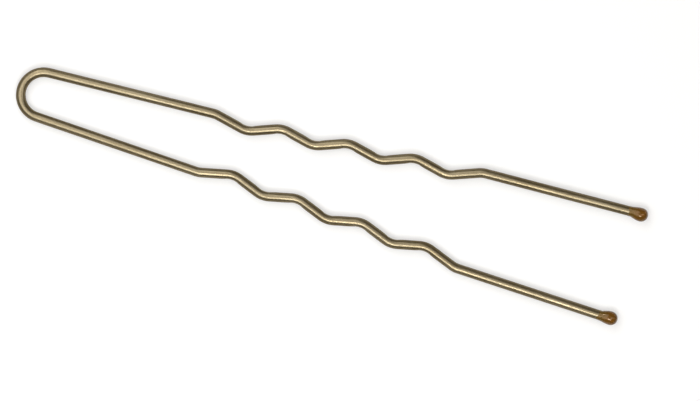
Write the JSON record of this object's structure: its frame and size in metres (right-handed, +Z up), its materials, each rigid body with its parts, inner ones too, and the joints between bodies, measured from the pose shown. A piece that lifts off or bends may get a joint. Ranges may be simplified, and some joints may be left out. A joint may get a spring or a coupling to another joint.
{
  "type": "wavy hairpin",
  "caption": "Open U-shaped hairpin of bronze-lacquered spring wire, with splayed crimped legs and dipped resin beads on the ends, for holding up a bun or a rolled strand of hair.",
  "frame": {"origin": "on the surface that the beads lie on, below the middle of the pin's length and width", "axes": "+X along the pin from the bow to the beads, +Y towards the left leg, +Z up, square to the plane of the pin"},
  "size_m": [0.07, 0.0134, 0.0015],
  "materials": {
    "bronze_lacquer": "satin metallic bronze lacquer on drawn steel wire",
    "amber_resin": "glossy clear brown dipped resin"
  },
  "bodies": {
    "bow": {"bow": "bronze_lacquer"},
    "left_leg": {"left_leg": "bronze_lacquer", "left_tip": "amber_resin"},
    "right_leg": {"right_leg": "bronze_lacquer", "right_tip": "amber_resin"}
  },
  "joints": [
    {"name": "left_flex", "type": "hinge", "parent": "bow", "child": "left_leg", "pos_m": [-0.03208, 0.0025, 0.00077], "axis": [0, 0, 1], "range_deg": [-4.3, 10], "stiffness_Nm_per_rad": 0.45},
    {"name": "right_flex", "type": "hinge", "parent": "bow", "child": "right_leg", "pos_m": [-0.03208, -0.0025, 0.00077], "axis": [0, 0, -1], "range_deg": [-4.3, 10], "stiffness_Nm_per_rad": 0.45}
  ]
}
